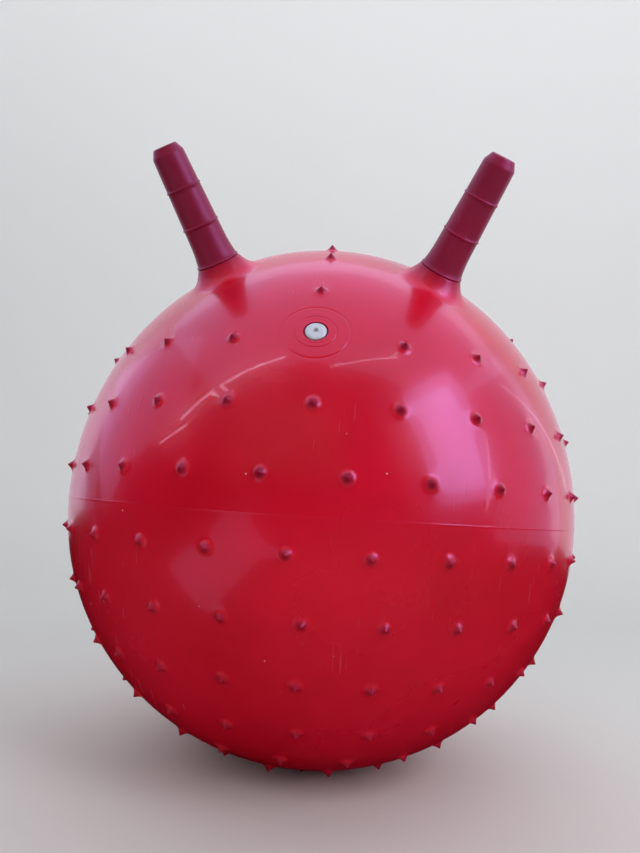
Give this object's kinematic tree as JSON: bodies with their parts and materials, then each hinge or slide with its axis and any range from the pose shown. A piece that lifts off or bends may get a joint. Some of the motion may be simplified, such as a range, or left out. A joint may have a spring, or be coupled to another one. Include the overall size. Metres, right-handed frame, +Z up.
{
  "type": "hopper ball",
  "caption": "Inflatable hopper ball with horn handles, short massage spikes, a fine mould seam, and a bonded valve closed by a push-in plug.",
  "frame": {"origin": "on the floor under the middle of the ball, at the tips of its lowest ring of spikes", "axes": "+Z up along the mould axis from bottom pole to top pole, -Y to the front where the valve is and the horns lean, +X to the side of right_horn"},
  "size_m": [0.4562, 0.4569, 0.5016],
  "materials": {
    "skin": "glossy moulded PVC, red, slightly translucent",
    "horns": "satin moulded PVC, dark red",
    "insert": "glossy PVC, red",
    "plug": "smooth white plastic"
  },
  "bodies": {
    "ball": {"ball_skin": "skin", "upper_spikes": "skin", "lower_spikes": "skin", "foot_spikes": "skin", "left_horn": "horns", "right_horn": "horns", "valve_insert": "insert"},
    "plug": {"valve_plug": "plug"}
  },
  "joints": [
    {"name": "plug_slide", "type": "slide", "parent": "ball", "child": "plug", "axis": [0, -0.8607, 0.5092], "range_m": [0, 0.03]}
  ]
}
